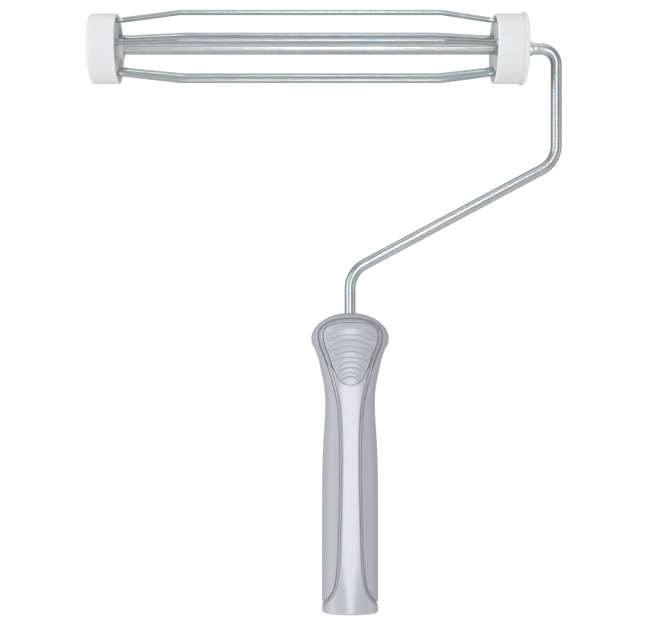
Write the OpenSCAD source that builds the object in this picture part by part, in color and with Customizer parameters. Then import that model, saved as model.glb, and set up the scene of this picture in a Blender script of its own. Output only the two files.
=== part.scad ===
// Paint roller frame: a cage of sprung wires that spins on a bent rod, with a moulded grip.
// Millimetres. The origin is the middle of the grip's bottom face, +Z runs up the grip to the
// cage, and +X points to the side on which the rod comes down from the cage.

/* [Cage] */
// Height of the cage's axis above the grip's bottom face
axle_z = 309; // [290:1:330]
// Outer face of the free-end cap, along X
free_end_x = -142.3; // [-150:0.1:-135]
// Outer face of the arm-end cap, along X
arm_end_x = 95.9; // [92:0.1:96]
// Diameter of both end caps, a loose fit in a 38.1 mm roller core
cap_d = 37.5; // [37:0.1:37.8]
// Width of the free-end cap
free_cap_w = 15.4; // [15:0.1:17]
// Width of the arm-end cap
arm_cap_w = 17.1; // [16.5:0.1:18]
// Depth of the dish in each cap's inner face
dish_depth = 2; // [1:0.1:2.5]
// Diameter of the cage wires
wire_d = 2.8; // [2.4:0.1:3]
// Number of cage wires
wire_count = 5; // [3:1:6]
// Turn of the first wire from straight up, towards the front
wire_turn = 20; // [0:1:71]
// Radius of the wire circle at the caps
wire_cap_r = 15.1; // [14.9:0.1:15.8]
// Radius of the wire circle in mid-span
wire_mid_r = 19.3; // [18:0.1:20]
// Length of each wire's slope at the free end
free_slope = 33; // [20:0.1:36]
// Length of each wire's slope at the arm end
arm_slope = 28.3; // [20:0.1:34]

/* [Frame rod] */
// Diameter of the rod
rod_d = 6; // [5.6:0.1:6.4]
// Distance of the arm's upright from the grip's axis
arm_x = 113.3; // [112:0.1:116]
// Height at which the upright turns into the diagonal
elbow_z = 247; // [240:1:255]
// Height at which the diagonal turns down to the grip
neck_z = 186.4; // [184:0.1:192]
// Bend radius beside the cage, to the rod's middle
cage_bend_r = 8.6; // [8:0.1:10]
// Bend radius of the two lower bends, to the rod's middle
arm_bend_r = 15; // [12:0.5:16]
// Height of the rod's lower end inside the grip
rod_foot_z = 78; // [60:1:90]
// Height over the ears pinched in the rod beside the cage
ear_h = 7.4; // [7:0.1:9]
// Width over the ears pinched in the rod inside the grip
anchor_w = 9; // [8:0.5:12]

/* [Grip] */
// Width of the grip at its lower end
grip_w = 30.8; // [30:0.1:33]
// Depth of the grip, front to back, at its lower end
grip_depth = 26; // [25:0.1:30]
// Width of the grip across its head
head_w = 42.8; // [40:0.1:46]
// Height of the widest place of the head
head_z = 149.7; // [148:0.1:151]
// Height of the dome over that place
dome_h = 14.5; // [13:0.1:15]
// Squareness of the grip's section: 2 is an ellipse, more is squarer
section_power = 2.4; // [2:0.1:3]
// Thickness of the soft side grip
skin = 2.2; // [1.8:0.1:2.4]
// Depth of the channel beside the side grip
channel_depth = 0.7; // [0.4:0.1:1]
// Thickness of the thumb pads
pad_t = 1.8; // [1.2:0.1:2]

/* [Pole socket] */
// Radius of the socket, over the thread of a 3/4 inch pole
socket_r = 9.75; // [9.6:0.05:9.8]
// Depth of the socket
socket_depth = 30; // [25:1:35]
// Outer radius of the socket's insert
insert_r = 11.2; // [10.9:0.1:11.4]

/* [Fits] */
// Running clearance between rod and bearings, on the radius
running_gap = 0.05; // [0.02:0.01:0.09]
// Gap between faces that pass each other as the cage spins
side_gap = 0.3; // [0.2:0.05:0.4]

/* [Hidden] */

$fn = 64;

cap_r = cap_d / 2;
rod_r = rod_d / 2;
wire_r = wire_d / 2;
bearing_bore_r = rod_r + running_gap;
washer_bore_r = rod_r + 0.15;
washer_r = 6.5;
washer_t = 0.8;
hub_r = 4.6;
lip_wall = 1.5;
rim_round = 1.4;
outer_round = 4;
flange_w = 1.9;
flange_h = 0.75;
socket_len = 9;
wire_stub = 3;
wire_bend_r = 10;

socket_floor = 4;

free_rim_x = free_end_x + free_cap_w;
free_floor_x = free_rim_x - dish_depth;
free_boss_x = free_rim_x + 2.8;
free_boss_r = 5.5;
free_well_x = free_end_x + 7.4;
free_well_r = 9;
plug_t = 2;

arm_rim_x = arm_end_x - arm_cap_w;
arm_floor_x = arm_rim_x + dish_depth;
arm_well_x = arm_end_x - 4;
arm_well_r = 13;
cover_t = 1.8;
bearing_flange_r = 7;
bearing_flange_t = 1.5;

nut_x = free_well_x - side_gap - washer_t - side_gap;
nut_flange_t = 0.8;
nut_collar_t = 1.2;
nut_flange_r = 6.2;
nut_collar_r = 4.2;
rod_end_x = nut_x - nut_flange_t - nut_collar_t - 0.4;

ear_x = arm_end_x + side_gap + washer_t + 0.1;
ear_len = 3.4;
ear_t = 1.7;
anchor_z = rod_foot_z + 8;
anchor_len = 7;

// ---- curves -------------------------------------------------------------------------------

// Slope of a table of [place, value] rows at row i, from its neighbours
function slope(table, i) =
    let (a = max(i - 1, 0), b = min(i + 1, len(table) - 1))
    (table[b][1] - table[a][1]) / (table[b][0] - table[a][0]);

// Row of the table whose stretch holds t
function stretch(table, t, i = 0) =
    i >= len(table) - 2 || t < table[i + 1][0] ? i : stretch(table, t, i + 1);

// Smooth value at t through the rows of a table
function smooth(table, t) =
    let (
        i = stretch(table, t),
        w = table[i + 1][0] - table[i][0],
        u = (t - table[i][0]) / w,
        a = table[i][1],
        b = table[i + 1][1],
        sa = slope(table, i) * w,
        sb = slope(table, i + 1) * w
    )
    a + u * (sa + u * (3 * (b - a) - 2 * sa - sb + u * (2 * (a - b) + sa + sb)));

// Places along a table, n to each stretch
function places(table, n) =
    [for (i = [0:len(table) - 2], k = [0:n - 1])
        table[i][0] + (table[i + 1][0] - table[i][0]) * k / n];

// A closed outline in X and Z from its right-hand half, listed from the bottom up
function both_sides(half) =
    concat(half, [for (i = [len(half) - 1:-1:0]) [-half[i][0], half[i][1]]]);

// ---- the grip's surface -------------------------------------------------------------------

// Half width of the grip against height, up to the widest place of the head
width_rows = [
    [0, grip_w / 2], [60, grip_w / 2], [80, grip_w / 2 - 0.2], [95, grip_w / 2 - 0.8],
    [106, grip_w / 2 - 1.5], [116, grip_w / 2 - 1.75], [124, grip_w / 2 - 1.1],
    [132, grip_w / 2 + 0.5], [139, grip_w / 2 + 2.1], [144, head_w / 2 - 2],
    [147, head_w / 2 - 0.5], [head_z, head_w / 2]
];

// Half depth of the grip against height: a scoop for the thumb lies below the head
depth_rows = [
    [0, grip_depth / 2], [70, grip_depth / 2], [100, grip_depth / 2 - 0.3],
    [122, grip_depth / 2 - 1.5], [136, grip_depth / 2 - 2.5], [143, grip_depth / 2 - 2],
    [head_z, grip_depth / 2 - 0.6], [155, grip_depth / 2 + 0.1]
];

// Share of the full size left at height z in the dome, whose top is lowered by inset
function dome(z, inset) =
    z <= head_z ? 1 : sqrt(max(0, 1 - pow((z - head_z) / (dome_h - inset), 2)));

function half_width(z, inset) =
    (smooth(width_rows, min(z, head_z)) - inset) * dome(z, inset);

function half_depth(z, inset) =
    (smooth(depth_rows, min(z, 155)) - inset) * pow(dome(z, inset), 0.8);

function signed_power(v, p) = sign(v) * pow(abs(v), p);

// One ring of the grip, its surface moved inwards by inset and then by trim
SIDES = 36;
function ring(z, inset, trim) = [
    for (i = [0:SIDES - 1])
        let (t = 360 * (i + 0.5) / SIDES, p = 2 / section_power)
        [(half_width(z, inset) - trim) * signed_power(cos(t), p),
         (half_depth(z, inset) - trim) * signed_power(sin(t), p),
         z]
];

// Heights of the rings from the shoulder up over the dome
function dome_heights(inset) =
    [for (k = [0:9]) head_z + (dome_h - inset) * sin(k * 9.2)];

function body_heights(inset) =
    concat(places(width_rows, 2), dome_heights(inset));

// A closed solid through a list of rings with equal numbers of points
module skin_over(rings) {
    n = len(rings[0]);
    last = len(rings) - 1;
    polyhedron(
        points = [for (r = rings) each r],
        faces = concat(
            [[for (i = [0:n - 1]) i]],
            [for (k = [0:last - 1], i = [0:n - 1])
                let (j = (i + 1) % n, a = k * n, b = a + n)
                each [[a + i, b + i, b + j], [a + i, b + j, a + j]]],
            [[for (i = [n - 1:-1:0]) last * n + i]]
        )
    );
}

// The grip's outside, with a small round at its lower edge
module grip_outside() {
    foot = [ring(0, 0, 0.9), ring(0.35, 0, 0.3), ring(1, 0, 0)];
    skin_over(concat(foot, [for (z = body_heights(0)) if (z > 1) ring(z, 0, 0)]));
}

// The same surface moved inwards, from a height up
module grip_inside(inset, from_z) {
    heights = [for (z = body_heights(inset)) if (z > from_z + 1) z];
    skin_over([for (z = concat([from_z], heights)) ring(z, inset, 0)]);
}

// ---- outlines on the grip's face, half widths against height ------------------------------

// Outer edge of the channel, where the side grip begins: legs, then an arch over the head
channel_foot_z = 5.8;
channel_arch_z = 151;
channel_arch_half = 17.9;
channel_rows = [
    [channel_foot_z, 15.6], [8.5, 12.4], [11.8, 10.2], [15, 8.9], [21, 7.8], [30, 7],
    [45, 6.5], [70, 6], [94, 6], [106, 6.5], [116, 7.6], [127, 10.3], [132.7, 12],
    [139, 14.3], [144, 16.4], [148, 17.5], [channel_arch_z, channel_arch_half]
];
channel_arch_h = 10;
channel_w = 1.5;

function arch(z, half, rise, power) =
    [for (k = [0:8]) let (t = k * 11.2)
        [half * pow(cos(t), 2 / power), z + rise * pow(sin(t), 2 / power)]];

function channel_half(move) = concat(
    [[20, -1], [20, channel_foot_z - (move > 0 ? 2.7 : 0)]],
    [for (z = places(channel_rows, 2))
        if (z > channel_foot_z + 0.5) [smooth(channel_rows, z) - move, z - move * 0.6]],
    arch(channel_arch_z, channel_arch_half - move, channel_arch_h - move, 2.3)
);

module channel_outline() {
    polygon(both_sides(channel_half(0)));
}

module face_outline() {
    polygon(both_sides(channel_half(channel_w)));
}

// Edge of the thumb pads: a tongue with a broad round top
pad_foot_z = 121;
pad_arch_z = 150.5;
pad_arch_half = 14.9;
pad_rows = [
    [125.6, 5.2], [127.4, 6.7], [129.4, 7.6], [134, 9.7], [141.5, 12.3], [146, 14.1],
    [pad_arch_z, pad_arch_half]
];

module pad_outline(gap) {
    half = concat(
        [[0, 124.2 + gap], [3.2, 124.5 + gap]],
        [for (z = places(pad_rows, 2)) [smooth(pad_rows, z) - gap, z]],
        arch(pad_arch_z, pad_arch_half - gap, 7.7 - gap, 3)
    );
    polygon(both_sides(half));
}

// Carries an outline in X and Z through the grip from front to back
module through_grip(depth = 40) {
    rotate([90, 0, 0]) linear_extrude(height = depth, center = true) children();
}

// Carries an outline through one face of the grip: side is -1 in front, 1 behind
module through_face(side) {
    translate([0, side * 10, 0]) rotate([90, 0, 0]) linear_extrude(height = 20, center = true)
        children();
}

module rod_hole() {
    translate([0, 0, rod_foot_z]) cylinder(r = rod_r, h = 100);
    rod_anchor();
}

// Ears pinched in the rod inside the grip, which stop it from turning or pulling out
module rod_anchor() {
    translate([-anchor_w / 2, -ear_t / 2, anchor_z]) cube([anchor_w, ear_t, anchor_len]);
}

// ---- the grip's pieces --------------------------------------------------------------------

module handle_core() {
    color([0.80, 0.80, 0.83]) difference() {
        union() {
            intersection() {
                grip_outside();
                through_grip() face_outline();
            }
            intersection() {
                grip_inside(channel_depth, 3.9);
                through_grip() channel_outline();
            }
            grip_inside(skin, 3.9);
        }
        for (side = [-1, 1]) difference() {
            through_face(side) pad_outline(0);
            grip_inside(pad_t, pad_foot_z);
        }
        rod_hole();
        translate([0, 0, -1]) cylinder(r = insert_r, h = socket_depth + socket_floor + 1);
    }
}

module side_grip() {
    color([0.70, 0.71, 0.74]) difference() {
        grip_outside();
        grip_inside(skin, 3.9);
        through_grip() channel_outline();
        rod_hole();
    }
}

module thumb_pad(side) {
    color([0.76, 0.76, 0.80]) difference() {
        intersection() {
            grip_inside(0, pad_foot_z);
            through_face(side) pad_outline(0.15);
        }
        grip_inside(pad_t, pad_foot_z);
    }
}

// A tube with a closed top, screwed into the grip for an extension pole
module pole_socket_insert() {
    top = socket_depth + socket_floor;
    color([0.62, 0.63, 0.66]) rotate_extrude() polygon([
        [socket_r, 0], [insert_r, 0], [insert_r, top],
        [0, top], [0, socket_depth], [socket_r, socket_depth]
    ]);
}

// ---- the rod ------------------------------------------------------------------------------

function heading(a, b) = atan2(b[1] - a[1], b[0] - a[0]);
function turn(a, b, c) =
    let (d = heading(b, c) - heading(a, b)) d > 180 ? d - 360 : d < -180 ? d + 360 : d;
function setback(a, b, c, r) = r * tan(abs(turn(a, b, c)) / 2);
function toward(a, b, d) = a + (b - a) * d / norm(b - a);

// A round bar along corners in the X-Y plane, each inner corner bent to its own radius.
// A bend is a hair thinner than the straights and runs a little way into both of them.
bend_thinner = 0.01;
bend_overlap = 0.2;
module bent_bar(corners, bends, r) {
    last = len(corners) - 1;
    back = [for (i = [0:last])
        i == 0 || i == last ? 0
            : setback(corners[i - 1], corners[i], corners[i + 1], bends[i])];
    for (i = [0:last - 1]) {
        a = toward(corners[i], corners[i + 1], back[i]);
        b = toward(corners[i + 1], corners[i], back[i + 1]);
        translate([a[0], a[1], 0]) rotate([0, 0, heading(a, b)]) rotate([0, 90, 0])
            cylinder(r = r, h = norm(b - a));
    }
    for (i = [1:last - 1]) {
        angle = turn(corners[i - 1], corners[i], corners[i + 1]);
        way = heading(corners[i - 1], corners[i]);
        hand = sign(angle);
        start = toward(corners[i], corners[i - 1], back[i]);
        middle = start + bends[i] * hand * [-sin(way), cos(way)];
        more = bend_overlap / bends[i] * 180 / PI;
        translate([middle[0], middle[1], 0])
            rotate([0, 0, way - hand * 90 + (hand < 0 ? angle : 0) - more])
                rotate_extrude(angle = abs(angle) + 2 * more)
                    translate([bends[i], 0]) circle(r = r - bend_thinner);
    }
}

// The bent rod, with ears pinched out above and below it to keep the cage in place
module frame_rod() {
    corners = [
        [rod_end_x, axle_z], [arm_x, axle_z], [arm_x, elbow_z], [0, neck_z], [0, rod_foot_z]
    ];
    bends = [0, cage_bend_r, arm_bend_r, arm_bend_r, 0];
    color([0.76, 0.79, 0.80]) union() {
        rotate([90, 0, 0]) bent_bar(corners, bends, rod_r);
        translate([ear_x, 0, axle_z]) rotate([90, 0, 0])
            linear_extrude(height = ear_t, center = true) ear_outline();
        rod_anchor();
    }
}

// Two rounded wings, one above and one below the rod
module ear_outline() {
    top = ear_h / 2;
    r = ear_len / 2;
    half = [for (k = [0:12]) let (t = 15 * k) [r + r * cos(t), top - 1 + sin(t)]];
    polygon(concat(half, [for (i = [12:-1:0]) [half[i][0], -half[i][1]]]));
}

// ---- turned parts on the cage's axis ------------------------------------------------------

// Turns an outline of [place along X, radius] points about the cage's axis
module turned(outline) {
    translate([0, 0, axle_z]) rotate([0, 90, 0]) rotate_extrude()
        polygon([for (p = outline) [p[1], p[0]]]);
}

// Points of a quarter round from one angle to another about [x, r]
function round_points(x, r, radius, from, to) =
    [for (k = [0:6]) let (t = from + (to - from) * k / 6)
        [x + radius * cos(t), r + radius * sin(t)]];

module axle_push_nut() {
    flange_x = nut_x - nut_flange_t;
    color([0.66, 0.68, 0.70]) turned([
        [flange_x - nut_collar_t, rod_r], [nut_x, rod_r], [nut_x, nut_flange_r],
        [flange_x, nut_flange_r], [flange_x, nut_collar_r],
        [flange_x - nut_collar_t, nut_collar_r]
    ]);
}

module washer_at(x) {
    color([0.72, 0.74, 0.76]) turned([
        [x, washer_bore_r], [x + washer_t, washer_bore_r],
        [x + washer_t, washer_r], [x, washer_r]
    ]);
}

module free_end_washer() {
    washer_at(free_well_x - side_gap - washer_t);
}

module arm_end_washer() {
    washer_at(arm_end_x + side_gap);
}

module wire_sockets(from_x) {
    for (i = [0:wire_count - 1]) at_wire(i) translate([from_x, 0, wire_cap_r])
        rotate([0, 90, 0]) cylinder(r = wire_r, h = socket_len);
}

// Turns what stands above the cage's axis round to the place of wire i
module at_wire(i) {
    translate([0, 0, axle_z]) rotate([wire_turn + i * 360 / wire_count, 0, 0]) children();
}

module free_end_cap() {
    color([0.90, 0.90, 0.91]) difference() {
        turned(concat(
            [[free_well_x, hub_r], [free_floor_x, hub_r], [free_floor_x, cap_r - lip_wall],
             [free_rim_x, cap_r - lip_wall]],
            round_points(free_rim_x - rim_round, cap_r - rim_round, rim_round, 0, 90),
            round_points(free_end_x + outer_round, cap_r - outer_round, outer_round, 90, 180),
            [[free_end_x, free_well_r], [free_well_x, free_well_r]]
        ));
        wire_sockets(free_floor_x - socket_len);
    }
}

module free_end_plug() {
    color([0.88, 0.88, 0.89]) turned([
        [free_end_x, 0], [free_end_x + plug_t, 0], [free_end_x + plug_t, free_well_r - 1.6],
        [free_end_x + plug_t + 1.2, free_well_r - 1.6],
        [free_end_x + plug_t + 1.2, free_well_r], [free_end_x, free_well_r]
    ]);
}

module free_end_bearing() {
    color([0.86, 0.86, 0.84]) turned([
        [free_well_x, bearing_bore_r], [free_boss_x, bearing_bore_r],
        [free_boss_x, free_boss_r], [free_floor_x, free_boss_r],
        [free_floor_x, hub_r], [free_well_x, hub_r]
    ]);
}

module arm_end_cap() {
    edge = 0.9;
    top_r = cap_r + flange_h;
    color([0.90, 0.90, 0.91]) difference() {
        turned(concat(
            [[arm_well_x, hub_r], [arm_well_x, arm_well_r], [arm_end_x, arm_well_r]],
            round_points(arm_end_x - edge, top_r - edge, edge, 0, 90),
            [[arm_end_x - flange_w + 0.3, top_r], [arm_end_x - flange_w, top_r - 0.3],
             [arm_end_x - flange_w, cap_r]],
            round_points(arm_rim_x + rim_round, cap_r - rim_round, rim_round, 90, 180),
            [[arm_rim_x, cap_r - lip_wall], [arm_floor_x, cap_r - lip_wall],
             [arm_floor_x, hub_r]]
        ));
        wire_sockets(arm_floor_x);
    }
}

module arm_end_cover() {
    color([0.88, 0.88, 0.89]) turned([
        [arm_end_x - cover_t, hub_r], [arm_end_x, hub_r],
        [arm_end_x, arm_well_r], [arm_end_x - cover_t, arm_well_r]
    ]);
}

module arm_end_bearing() {
    flange_x = arm_well_x + bearing_flange_t;
    color([0.86, 0.86, 0.84]) turned([
        [arm_floor_x, bearing_bore_r], [arm_end_x, bearing_bore_r],
        [arm_end_x, hub_r], [flange_x, hub_r],
        [flange_x, bearing_flange_r], [arm_well_x, bearing_flange_r],
        [arm_well_x, hub_r], [arm_floor_x, hub_r]
    ]);
}

// One wire: both ends sit in the caps, and the span between stands further out
module cage_wire(i) {
    free_x = free_floor_x + wire_stub;
    arm_x = arm_floor_x - wire_stub;
    corners = [
        [free_floor_x - socket_len, wire_cap_r], [free_x, wire_cap_r],
        [free_x + free_slope, wire_mid_r], [arm_x - arm_slope, wire_mid_r],
        [arm_x, wire_cap_r], [arm_floor_x + socket_len, wire_cap_r]
    ];
    bends = [0, wire_bend_r, wire_bend_r, wire_bend_r, wire_bend_r, 0];
    color([0.74, 0.77, 0.78]) at_wire(i) rotate([90, 0, 0]) bent_bar(corners, bends, wire_r);
}

handle_core();
side_grip();
thumb_pad(-1);  // thumb_pad_front
thumb_pad(1);  // thumb_pad_rear
pole_socket_insert();
frame_rod();
axle_push_nut();
free_end_washer();
arm_end_washer();
free_end_cap();
free_end_plug();
free_end_bearing();
arm_end_cap();
arm_end_cover();
arm_end_bearing();
cage_wire(0);  // cage_wire_1
cage_wire(1);  // cage_wire_2
cage_wire(2);  // cage_wire_3
cage_wire(3);  // cage_wire_4
cage_wire(4);  // cage_wire_5
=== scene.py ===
"""Looks of the paint roller frame: sprung wire cage, bent zinc-plated rod and moulded grip.

Lengths are in millimetres in the part's own frame (+Z up the grip, +X towards the arm) until
a mesh is made, which divides them by 1000. Places come from the CAD nodes' boxes.
"""

import math

import bmesh
import bpy
import numpy as np
from mathutils import Matrix, Vector


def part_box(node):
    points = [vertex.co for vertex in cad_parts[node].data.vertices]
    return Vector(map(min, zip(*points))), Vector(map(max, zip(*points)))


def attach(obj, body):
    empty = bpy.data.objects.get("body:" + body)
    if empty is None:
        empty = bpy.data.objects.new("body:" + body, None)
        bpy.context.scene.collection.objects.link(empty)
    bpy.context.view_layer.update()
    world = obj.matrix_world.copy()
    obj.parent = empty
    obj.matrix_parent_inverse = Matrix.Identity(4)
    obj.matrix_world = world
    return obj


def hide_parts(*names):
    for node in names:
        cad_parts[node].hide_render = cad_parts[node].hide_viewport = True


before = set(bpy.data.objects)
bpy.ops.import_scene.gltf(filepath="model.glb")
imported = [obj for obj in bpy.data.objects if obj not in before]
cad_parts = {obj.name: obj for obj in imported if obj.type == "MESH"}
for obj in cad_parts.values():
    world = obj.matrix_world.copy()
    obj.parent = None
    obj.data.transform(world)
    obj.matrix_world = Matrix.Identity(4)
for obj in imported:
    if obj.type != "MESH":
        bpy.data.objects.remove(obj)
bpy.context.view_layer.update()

MM = 0.001
FRONT = -1
REAR = 1


def extent(node):
    """Lowest and highest corners of a CAD node, in millimetres."""
    low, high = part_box(node)
    return [c / MM for c in low], [c / MM for c in high]


# ---- places taken from the frame ----

free_low, free_high = extent("free_end_cap")
arm_low, arm_high = extent("arm_end_cap")
rod_low, rod_high = extent("frame_rod")
grip_high = extent("side_grip")[1]
insert_high = extent("pole_socket_insert")[1]
nose_low, nose_high = extent("free_end_bearing")
hub_low, hub_high = extent("arm_end_bearing")
nut_low, nut_high = extent("axle_push_nut")
plug_low, plug_high = extent("free_end_plug")
cover_low, cover_high = extent("arm_end_cover")
free_washer_low, free_washer_high = extent("free_end_washer")
arm_washer_low, arm_washer_high = extent("arm_end_washer")

AXLE_Z = (free_low[2] + free_high[2]) / 2
CAP_R = (free_high[2] - free_low[2]) / 2
FREE_OUT_X = free_low[0]
FREE_RIM_X = free_high[0]
ARM_RIM_X = arm_low[0]
ARM_OUT_X = arm_high[0]
ROD_R = rod_high[1]
ROD_END_X = rod_low[0]
ROD_FOOT_Z = rod_low[2]
ARM_X = rod_high[0] - ROD_R

# ---- sizes that the boxes don't show, the same as in the CAD source ----

DISH_DEPTH = 2
FREE_FLOOR_X = FREE_RIM_X - DISH_DEPTH
ARM_FLOOR_X = ARM_RIM_X + DISH_DEPTH
LIP_WALL = 1.5
LIP_R = CAP_R - LIP_WALL
HUB_R = 4.6
RUNNING_GAP = 0.05
BUSH_BORE_R = ROD_R + RUNNING_GAP
FREE_WELL_X = nose_low[0]
FREE_WELL_R = plug_high[2] - AXLE_Z
ARM_WELL_X = ARM_OUT_X - 4
ARM_WELL_R = cover_high[2] - AXLE_Z
STOP_FLANGE_W = 1.9
STOP_FLANGE_H = 0.75

WIRE_R = 1.4
WIRE_COUNT = 5
WIRE_TURN = 20
WIRE_CAP_R = 15.1
WIRE_MID_R = 19.3
WIRE_SOCKET = 9
WIRE_STUB = 3
FREE_SLOPE = 33
ARM_SLOPE = 28.3
WIRE_BEND_R = 10
STUB_SQUEEZE = 0.22
STUB_SPREAD = 0.14
STUB_LENGTH = 3.4
STUB_START = 0.8

ELBOW_Z = 247
NECK_Z = 186.4
CAGE_BEND_R = 8.6
ARM_BEND_R = 15
EAR_X = arm_washer_high[0] + 0.1
EAR_LEN = 3.4
EAR_HALF = 3.7
EAR_SQUASH = 0.55
ANCHOR_Z = ROD_FOOT_Z + 8
ANCHOR_LEN = 7
ANCHOR_HALF = 4.5
ANCHOR_SQUASH = 1.6
ROD_CHAMFER = 0.5

GRIP_HALF = 15.4
HEAD_HALF = grip_high[0]
GRIP_TOP_Z = grip_high[2]
HEAD_Z = 149.7
SECTION_POWER = 2.4
GRIP_SKIN = 1.6

# Half width and half depth of the grip against height
WIDTH_ROWS = [
    (0, GRIP_HALF), (60, GRIP_HALF), (80, GRIP_HALF - 0.2), (95, GRIP_HALF - 0.8),
    (106, GRIP_HALF - 1.5), (116, GRIP_HALF - 1.75), (124, GRIP_HALF - 1.1),
    (132, GRIP_HALF + 0.5), (139, GRIP_HALF + 2.1), (144, HEAD_HALF - 2),
    (147, HEAD_HALF - 0.5), (HEAD_Z, HEAD_HALF),
]
DEPTH_ROWS = [
    (0, 13), (70, 13), (100, 12.7), (122, 11.5), (136, 10.5), (143, 11), (HEAD_Z, 12.4),
    (155, 13.1),
]


# ---- curves ----

def smooth(rows, places):
    """Smooth values at places through a table of (place, value) rows."""
    place = np.asarray(places, float)
    at = np.array([r[0] for r in rows], float)
    value = np.array([r[1] for r in rows], float)
    count = len(rows)
    slope = np.array([
        (value[min(i + 1, count - 1)] - value[max(i - 1, 0)])
        / (at[min(i + 1, count - 1)] - at[max(i - 1, 0)])
        for i in range(count)
    ])
    i = np.clip(np.searchsorted(at, place, side="right") - 1, 0, count - 2)
    width = at[i + 1] - at[i]
    u = np.clip((place - at[i]) / width, 0, 1)
    a, b = value[i], value[i + 1]
    sa, sb = slope[i] * width, slope[i + 1] * width
    return a + u * (sa + u * (3 * (b - a) - 2 * sa - sb + u * (2 * (a - b) + sa + sb)))


def ease(low, high, value):
    """0 below low, 1 above high, smooth between."""
    u = np.clip((np.asarray(value, float) - low) / (high - low), 0, 1)
    return u * u * (3 - 2 * u)


def mix(a, b, u):
    """The value a share u of the way from a to b."""
    return a + (b - a) * u


def shares(count):
    """Even shares from 0 up to, but not including, 1."""
    return [k / count for k in range(count)]


def full_turn(sides):
    """Angles of the points round a ring."""
    return [2 * math.pi * k / sides for k in range(sides)]


def lengths_along(points):
    """Distance along a polyline at each of its points."""
    steps = np.linalg.norm(np.diff(points, axis=0), axis=1)
    return np.concatenate([[0], np.cumsum(steps)])


# ---- the grip's surface ----

def dome(z):
    """Share of the head's full size left at height z, above its widest place."""
    q = np.clip((z - HEAD_Z) / (GRIP_TOP_Z - HEAD_Z), 0, 1)
    return np.sqrt(1 - q * q)


def half_width(z):
    """Half the grip's width at height z."""
    return smooth(WIDTH_ROWS, np.minimum(z, HEAD_Z)) * dome(z)


def half_depth(z):
    """Half the grip's depth at height z."""
    return smooth(DEPTH_ROWS, np.minimum(z, DEPTH_ROWS[-1][0])) * dome(z) ** 0.8


def on_grip(x, z, depth=0):
    """Points on the grip's front at (x, z), sunk along the surface's normal by depth."""
    x, z, depth = np.broadcast_arrays(*[np.asarray(v, float) for v in (x, z, depth)])
    z = np.clip(z, 0, GRIP_TOP_Z - 1e-4)
    wide, deep = half_width(z), half_depth(z)
    n = SECTION_POWER
    a = np.clip(np.abs(x) / wide, 0, 1)
    b = (1 - a ** n) ** (1 / n)
    step = 0.02
    low = np.clip(z - step, 0, GRIP_TOP_Z - 2e-4)
    wide_slope = (wide - half_width(low)) / (z - low + 1e-9) / wide
    deep_slope = (deep - half_depth(low)) / (z - low + 1e-9) / deep
    normal = np.stack([
        np.sign(x) * a ** (n - 1) / wide,
        -(b ** (n - 1)) / deep,
        -(a ** n) * wide_slope - (b ** n) * deep_slope,
    ], axis=-1)
    flat = z < 1e-3
    normal[flat, 2] = 0
    normal /= np.linalg.norm(normal, axis=-1, keepdims=True)
    place = np.stack([np.sign(x) * a * wide, -b * deep, z], axis=-1)
    return place - normal * depth[..., None]


# Channel beside the side grip: half width of its outer groove against height, then an arch
CHANNEL_ROWS = [
    (5.7, GRIP_HALF), (8.5, 12.4), (11.8, 10.2), (15, 8.9), (21, 7.8), (30, 7), (45, 6.5),
    (70, 6), (94, 6), (106, 6.5), (116, 7.6), (127, 10.3), (132.7, 12), (139, 14.3),
    (144, 16.4), (148, 17.5), (151, 17.9),
]
CHANNEL_ARCH_Z = CHANNEL_ROWS[-1][0]
# An arch is the height and half width of its foot, its rise and its squareness
CHANNEL_ARCH = (*CHANNEL_ROWS[-1], 10, 2.3)
# Distance between the channel's two grooves against height, and their shape
CHANNEL_WIDTH_ROWS = [
    (5, 1.35), (60, 1.2), (100, 1.35), (125, 1.55), (140, 1.6), (147, 1.45), (151, 1.35),
]
GROOVE_HALF = 0.2
GROOVE_DEPTH = 0.6
BEAD_DEPTH = 0.25
GROOVE_EDGE = 0.35
FOOT_STRETCH = 1.5
# At the channel's foot its bead sinks and its floor drops
FOOT_CHANNEL_Z = (8, 36)
FOOT_BEAD_DEPTH = 0.7
FOOT_GROOVE_DEPTH = 0.85
# How much painted shade darkens the channel's floor near its foot
FOOT_RECESS_SHADE = 0.6

# Edge of the thumb pad: a round foot, then half widths against height, then an arch
PAD_FOOT = [(0, 124.2), (4, 124.2), (6.3, 126.6), (7.6, 129.4)]
PAD_ROWS = [(129.4, 7.6), (134, 9.7), (141.5, 12.3), (146, 14.1), (150.5, 14.9)]
PAD_LEG_Z = PAD_ROWS[0][0]
PAD_ARCH_Z = PAD_ROWS[-1][0]
PAD_ARCH = (*PAD_ROWS[-1], 7.7, 3)
HEAD_ARCH = (HEAD_Z, HEAD_HALF, GRIP_TOP_Z - HEAD_Z, 2)
PAD_SEAT_DEPTH = 1.7
PAD_SEAT_GAP = 0.03
PAD_SEAT_WIDER = 0.6
# Round the pad's upper part the strip sinks into a moat
MOAT_DEPTH = 1.0
MOAT_BEAD_DEPTH = 0.8
MOAT_FROM_Z = 131.5
MOAT_FULL_Z = 136
ARCH_STEPS = 30


def arch(z, half, rise, power, turn):
    """A point of a superellipse's quarter above height z, at a turn in degrees."""
    t = math.radians(turn)
    across = half * abs(math.cos(t)) ** (2 / power)
    return (across if turn < 90 else 0, z + rise * math.sin(t) ** (2 / power))


def bezier(points, u):
    """A point of a cubic curve with four control points."""
    p = [np.array(q, float) for q in points]
    return tuple(
        p[0] * (1 - u) ** 3 + p[1] * 3 * u * (1 - u) ** 2
        + p[2] * 3 * u * u * (1 - u) + p[3] * u ** 3
    )


def point_at(rows, z):
    """The point at height z on an edge given by its half widths."""
    return (float(smooth(rows, z)), z)


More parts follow.
